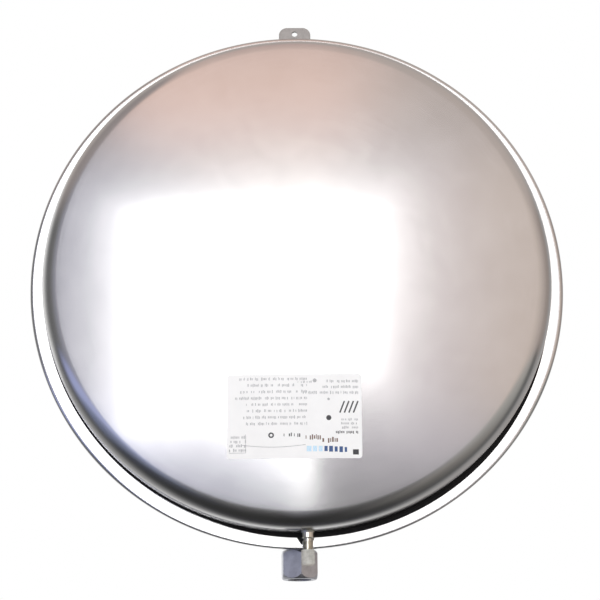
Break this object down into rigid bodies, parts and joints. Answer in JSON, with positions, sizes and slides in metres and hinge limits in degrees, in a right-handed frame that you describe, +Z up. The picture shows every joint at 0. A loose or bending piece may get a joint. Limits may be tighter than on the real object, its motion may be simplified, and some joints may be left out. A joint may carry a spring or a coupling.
{
  "type": "expansion tank",
  "caption": "Flat round sealed steel expansion vessel with a folded rim, fixing lug, capped gas valve and hexagon water connection.",
  "frame": {"origin": "centre of the water connection's mouth", "axes": "+Z up, from the water connection towards the fixing lug; -Y is the gas side, which faces the front; the disc's own axis lies along Y"},
  "size_m": [0.3869, 0.1008, 0.4165],
  "materials": {
    "front_pan_steel": "bare sheet, fine circular brush, bright",
    "rear_pan_steel": "bare sheet, fine circular brush, bright rolled rim",
    "membrane_rubber": "matt black",
    "socket_steel": "turned, zinc plated",
    "lug_steel": "stamped, dull zinc",
    "plated_brass": "nickel plated, turned",
    "core_brass": "turned",
    "pin_steel": "drawn wire",
    "spring_steel": "drawn wire",
    "core_rubber": "matt black",
    "cap_plastic": "moulded, light grey",
    "label_film": "white self-adhesive film, printed"
  },
  "bodies": {
    "vessel": {"front_shell": "front_pan_steel", "rear_shell": "rear_pan_steel", "diaphragm": "membrane_rubber", "connection_socket": "socket_steel", "fixing_lug": "lug_steel", "valve_stem": "plated_brass", "core_head": "core_brass", "core_barrel": "core_brass", "core_gasket": "core_rubber", "core_spring": "spring_steel", "label": "label_film"},
    "plunger": {"core_pin": "pin_steel", "core_seal": "core_rubber", "core_cup": "core_brass"},
    "cap_disc": {"cap_seal": "core_rubber"},
    "cap": {"valve_cap": "cap_plastic"}
  },
  "joints": [
    {"name": "core_press", "type": "slide", "parent": "vessel", "child": "plunger", "axis": [0, 0, 1], "range_m": [0, 0.0012], "stiffness_N_per_m": 250, "springref_m": -0.002, "deforming": ["core_spring"]},
    {"name": "cap_lift", "type": "slide", "parent": "vessel", "child": "cap_disc", "axis": [0, 0, -1], "range_m": [0, 0.0048]},
    {"name": "cap_turn", "type": "hinge", "parent": "cap_disc", "child": "cap", "pos_m": [0.0057, -0.025, 0.0125], "axis": [0, 0, -1], "range_deg": [0, 2177]}
  ],
  "couplings": [
    {"joint": "cap_turn", "follows": "cap_lift", "rad_per_m": 7913.3}
  ]
}
